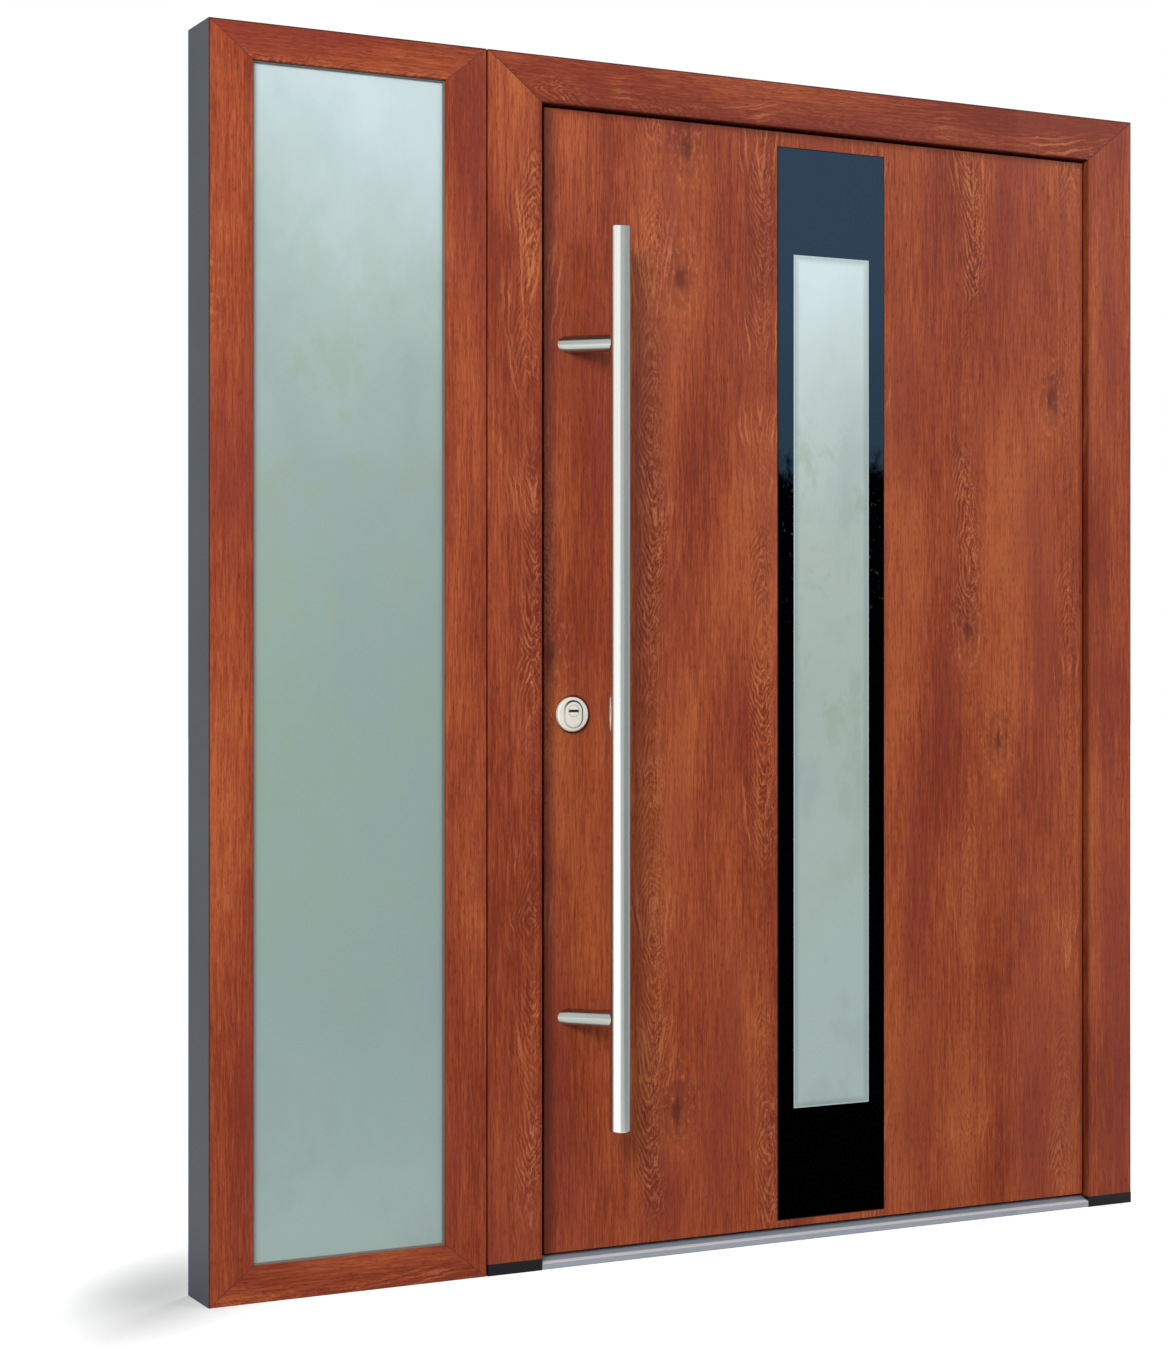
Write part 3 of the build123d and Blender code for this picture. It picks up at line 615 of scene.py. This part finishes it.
joint_width = 2.6 * MM
joint_rise = 0.8 * MM
joint_out = 0.6 * MM
gasket_width = 4 * MM
gasket_rise = 2.5 * MM
gasket_in = 1 * MM
bead("strip_joint", (strip_low.x - joint_out, strip_low.z - joint_out),
     (strip_high.x + joint_out, strip_high.z + joint_out), skin_low.y, -1, joint_width, joint_rise, "leaf")
bead("sidelight_inner_gasket", (left_high.x + gasket_in, bottom_rail_high.z + gasket_in),
     (right_low.x - gasket_in, top_rail_low.z - gasket_in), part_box("sidelight_inner_pane")[1].y, 1,
     gasket_width, gasket_rise, "frame")
bead("window_inner_gasket", (window_low.x + gasket_in, window_low.z + gasket_in),
     (window_high.x - gasket_in, window_high.z - gasket_in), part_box("strip_inner_pane")[1].y, 1,
     gasket_width, gasket_rise, "leaf")


def heads_tree():
    """Round heads with a bevelled rim and a round socket, one on each point of the mesh."""
    group = bpy.data.node_groups.new("fastener_heads", "GeometryNodeTree")
    face = group.interface
    face.new_socket("Points", in_out="INPUT", socket_type="NodeSocketGeometry")
    face.new_socket("Head radius", in_out="INPUT", socket_type="NodeSocketFloat")
    face.new_socket("Head height", in_out="INPUT", socket_type="NodeSocketFloat")
    face.new_socket("Turn", in_out="INPUT", socket_type="NodeSocketRotation")
    face.new_socket("Finish", in_out="INPUT", socket_type="NodeSocketMaterial")
    face.new_socket("Heads", in_out="OUTPUT", socket_type="NodeSocketGeometry")
    tree = Tree(group)
    entry = group.nodes.new("NodeGroupInput")
    points, radius, height, turn, finish = (Value(tree, entry.outputs[index]) for index in range(5))
    base = tree.node("GeometryNodeMeshCircle", {"fill_type": "NGON"}, {"Vertices": 24, "Radius": radius})

    def raised(mesh, top, offset, scale):
        """The top face pulled out by offset, then scaled about its middle."""
        node = group.nodes.new("GeometryNodeExtrudeMesh")
        node.mode = "FACES"
        group.links.new(mesh.socket, node.inputs["Mesh"])
        if top:
            group.links.new(top.socket, node.inputs["Selection"])
        group.links.new(offset.socket, node.inputs["Offset Scale"])
        node.inputs["Individual"].default_value = False
        new_top = Value(tree, node.outputs["Top"])
        inputs = {"Geometry": Value(tree, node.outputs["Mesh"]), "Selection": new_top, "Scale": scale}
        return tree.node("GeometryNodeScaleElements", {"domain": "FACE"}, inputs), new_top

    shape, top = raised(base, None, height * 0.5, 1.0)
    shape, top = raised(shape, top, height * 0.5, 0.80)
    shape, top = raised(shape, top, height * 0.001, 0.56)
    shape, top = raised(shape, top, height * -0.6, 0.92)
    underside = tree.node("GeometryNodeFlipFaces", {}, {"Mesh": base})
    both = group.nodes.new("GeometryNodeJoinGeometry")
    group.links.new(shape.socket, both.inputs[0])
    group.links.new(underside.socket, both.inputs[0])
    merging = {0: Value(tree, both.outputs[0]), "Distance": 0.001 * MM}
    closed = tree.node("GeometryNodeMergeByDistance", {}, merging)
    placing = {"Points": points, "Instance": closed, "Rotation": turn}
    placed = tree.node("GeometryNodeInstanceOnPoints", {}, placing)
    real = tree.node("GeometryNodeRealizeInstances", {}, {0: placed})
    painted = tree.node("GeometryNodeSetMaterial", {}, {"Geometry": real, "Material": finish})
    exit_node = group.nodes.new("NodeGroupOutput")
    group.links.new(painted.socket, exit_node.inputs[0])
    return group


fasteners = heads_tree()
facing = {
    "left": (0, -math.pi / 2, 0), "right": (0, math.pi / 2, 0), "in": (-math.pi / 2, 0, 0),
    "up": (0, 0, 0), "down": (math.pi, 0, 0),
}


def heads(name, points, way, radius, height, body, finish):
    """Fastener heads on points, facing one way, as one plain mesh."""
    cloud = bpy.data.meshes.new(name + "_points")
    cloud.from_pydata(points, [], [])
    carrier = bpy.data.objects.new(name + "_points", cloud)
    bpy.context.scene.collection.objects.link(carrier)
    maker = carrier.modifiers.new("heads", "NODES")
    maker.node_group = fasteners
    values = {"Head radius": radius, "Head height": height, "Turn": facing[way], "Finish": finish}
    for socket in fasteners.interface.items_tree:
        if socket.name in values:
            maker[socket.identifier] = values[socket.name]
    evaluated = carrier.evaluated_get(bpy.context.evaluated_depsgraph_get())
    mesh = bpy.data.meshes.new_from_object(evaluated)
    carrier.modifiers.remove(maker)
    bpy.data.objects.remove(carrier)
    return finished(name, mesh, finish, body)


face_low, face_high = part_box("lock_faceplate")
strike_low, strike_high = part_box("strike_plates")
edge_y = (face_low.y + face_high.y) / 2
end_inset = 14 * MM
plate_middle = 90 * MM
screw_offset = 70 * MM
screw_radius = 4 * MM
screw_height = 1 * MM
face_heights = [
    face_low.z + end_inset, (face_low.z + disc_z) / 2, disc_z - screw_offset,
    disc_z + screw_offset, (face_high.z + disc_z) / 2, face_high.z - end_inset]
strike_heights = [middle + side * screw_offset for side in (-1, 1)
                  for middle in (strike_low.z + plate_middle, disc_z, strike_high.z - plate_middle)]
heads("faceplate_screws", [(face_low.x, edge_y, z) for z in face_heights], "left",
      screw_radius, screw_height, "leaf", steel_plate)
heads("strike_screws", [(strike_high.x, edge_y, z) for z in strike_heights], "right",
      screw_radius, screw_height, "frame", steel_plate)

plate_screw = 17 * MM
pair_offset = 14 * MM
hinge_screw_radius = 4.5 * MM
hinge_screw_height = 1.2 * MM
cap_radius = 9.6 * MM
cap_height = 3 * MM
levels = ("lower", "middle", "upper")
leaf_halves = [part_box(f"{level}_hinge_leaf_half") for level in levels]
frame_halves = [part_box(f"{level}_hinge_frame_half") for level in levels]
pin_x, pin_y = frame["record"]["behaviour"]["joints"][0]["pos_m"][:2]
plate_face = pin_y + 6 * MM
heads("hinge_leaf_screws",
      [(low.x + plate_screw, plate_face, (low.z + high.z) / 2 + side * pair_offset)
       for low, high in leaf_halves for side in (-1, 1)],
      "in", hinge_screw_radius, hinge_screw_height, "leaf", anthracite)
heads("hinge_frame_screws",
      [(high.x - plate_screw, plate_face, (3 * low.z + high.z) / 4 + side * pair_offset)
       for low, high in frame_halves for side in (-1, 1)],
      "in", hinge_screw_radius, hinge_screw_height, "frame", anthracite)
heads("hinge_top_caps", [(pin_x, pin_y, high.z) for low, high in leaf_halves], "up",
      cap_radius, cap_height, "leaf", anthracite)
heads("hinge_bottom_caps", [(pin_x, pin_y, low.z) for low, high in frame_halves], "down",
      cap_radius, cap_height, "frame", anthracite)
lever_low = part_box("lever")[0]
neck_x = lever_low.x + 9.5 * MM
neck_y = lever_low.y + 16 * MM
grub_radius = 2.5 * MM
grub_height = 0.5 * MM
heads("lever_grub_screw", [(neck_x, neck_y, lever_low.z)], "down",
      grub_radius, grub_height, "leaf", steel_plate)


# Floor, light and camera
def stage_plane(name, width, height, location, rotation, material):
    half_width, half_height = width / 2, height / 2
    corners = [(-half_width, -half_height, 0), (half_width, -half_height, 0),
               (half_width, half_height, 0), (-half_width, half_height, 0)]
    mesh = bpy.data.meshes.new(name)
    mesh.from_pydata(corners, [], [(0, 1, 2, 3)])
    mesh.materials.append(material)
    made = bpy.data.objects.new(name, mesh)
    made.location = location
    made.rotation_euler = rotation
    bpy.context.scene.collection.objects.link(made)
    return made


# A painted soft shadow on the floor at the unit's left foot
foot_shadow = Vector((unit_low.x - 0.03, 0.10, 0))
foot_shadow_turn = math.radians(54)
foot_shadow_length = 0.60
foot_shadow_width = 0.27
foot_shadow_depth = 0.52


def pale_floor():
    """White floor with a painted soft shadow at the unit's left foot, which gives little light back to the
    door.
    """
    finish = Finish("pale_floor")
    off_x, off_y = finish.x - foot_shadow.x, finish.y - foot_shadow.y
    along = off_x * math.cos(foot_shadow_turn) + off_y * math.sin(foot_shadow_turn)
    aside = off_x * math.sin(foot_shadow_turn) - off_y * math.cos(foot_shadow_turn)
    off_shadow = finish.vector(along / foot_shadow_length, aside / foot_shadow_width).length()
    lit = 1 - off_shadow.ramp(1.0, 0.0) * foot_shadow_depth
    far = finish.vector(finish.x, finish.y).length().ramp(2.0, 7.0)
    glow_colour = finish.mix(far, (0.5, 0.5, 0.5, 1), (1, 1, 1, 1))
    pale = finish.node("ShaderNodeBsdfDiffuse", {}, {"Color": (0.8, 0.8, 0.8, 1)})
    glow = finish.node("ShaderNodeEmission", {}, {"Color": glow_colour, "Strength": 1.0})
    bright = finish.node("ShaderNodeAddShader", {}, {0: pale, 1: glow})
    black = finish.node("ShaderNodeBsdfDiffuse", {}, {"Color": (0, 0, 0, 1)})
    shaded = finish.node("ShaderNodeMixShader", {}, {0: lit, 1: black, 2: bright})
    dim = finish.node("ShaderNodeBsdfDiffuse", {}, {"Color": (0.3, 0.3, 0.3, 1)})
    inputs = {0: finish.seen_directly(), 1: dim, 2: shaded}
    return finish.shown(finish.node("ShaderNodeMixShader", {}, inputs))


def grey_card(name, shade, size, location, rotation):
    """A card that only metal and glass reflect."""
    finish = Finish(name)
    glow = finish.node("ShaderNodeEmission", {}, {"Color": linear(*shade), "Strength": 1.0})
    card = stage_plane(name, *size, location, rotation, finish.shown(glow))
    card.visible_camera = False
    card.visible_diffuse = False
    card.visible_transmission = False
    card.visible_shadow = False


def upright_card(name, shade, start, end):
    """A card that stands round the bar, between two angles counted from straight ahead to the right."""
    turn = math.radians((start + end) / 2)
    width = 2 * card_distance * math.tan(math.radians(end - start) / 2)
    x = bar_low.x + card_distance * math.sin(turn)
    y = bar_low.y - card_distance * math.cos(turn)
    grey_card(name, shade, (width, card_height), (x, y, card_middle), (math.pi / 2, 0, turn))


def studio_world():
    world = bpy.data.worlds.new("studio")
    world.use_nodes = True
    world.node_tree.nodes.clear()
    room = Tree(world.node_tree)
    soft = room.node("ShaderNodeBackground", {}, {"Color": (0.93, 0.97, 1.0, 1), "Strength": 0.42})
    white = room.node("ShaderNodeBackground", {}, {"Color": (1, 1, 1, 1), "Strength": 1.0})
    both = room.node("ShaderNodeMixShader", {}, {0: room.seen_directly(), 1: soft, 2: white})
    room.node("ShaderNodeOutputWorld", {}, {"Surface": both})
    bpy.context.scene.world = world


def area_lamp(name, location, target, size, power, colour=(1, 1, 1), mirrored=False):
    data = bpy.data.lights.new(name, "AREA")
    data.shape = "RECTANGLE"
    data.size, data.size_y = size
    data.energy = power
    data.color = colour
    lamp = bpy.data.objects.new(name, data)
    lamp.location = location
    lamp.rotation_euler = (Vector(target) - Vector(location)).to_track_quat("-Z", "Y").to_euler()
    bpy.context.scene.collection.objects.link(lamp)
    lamp.visible_glossy = mirrored


stage_plane("floor", 60.0, 60.0, (0, 0, 0), (0, 0, 0), pale_floor())
studio_world()
area_lamp("key", (-3.8, -3.6, 3.7), (0, 0, 1.5), (2.0, 2.2), 236, (1, 0.985, 0.96))
area_lamp("fill", (3.4, -4.4, 3.9), (0.5, 0, 1.8), (3.0, 2.0), 84, mirrored=True)
area_lamp("back", (3.2, 3.4, 3.6), (-0.6, 0, 0.2), (1.6, 1.6), 160)

card_distance = 0.9
card_height = 3.0
card_middle = 1.0
upright_card("light_card", (184, 187, 188), -22, 16)
upright_card("dark_card", (142, 147, 150), 16, 76)
upright_card("edge_card", (178, 178, 178), 76, 94)
grey_card("upper_card", (70, 76, 76), (3.4, 4.2), (-0.1, -0.9, 3.2), (0, 0, 0))

camera_place = (-2.373, -4.194, 1.055)
camera_turn = 27.07
camera_lens = 71.22
photo_height = 1350
horizon_rise = 15.2
camera_data = bpy.data.cameras.new("camera")
camera_data.lens = camera_lens
camera_data.sensor_width = 36.0
camera_data.shift_y = -horizon_rise / photo_height
camera = bpy.data.objects.new("camera", camera_data)
camera.location = camera_place
camera.rotation_euler = (math.pi / 2, 0, math.radians(-camera_turn))
bpy.context.scene.collection.objects.link(camera)
bpy.context.scene.camera = camera
bpy.context.scene.view_settings.view_transform = "Standard"
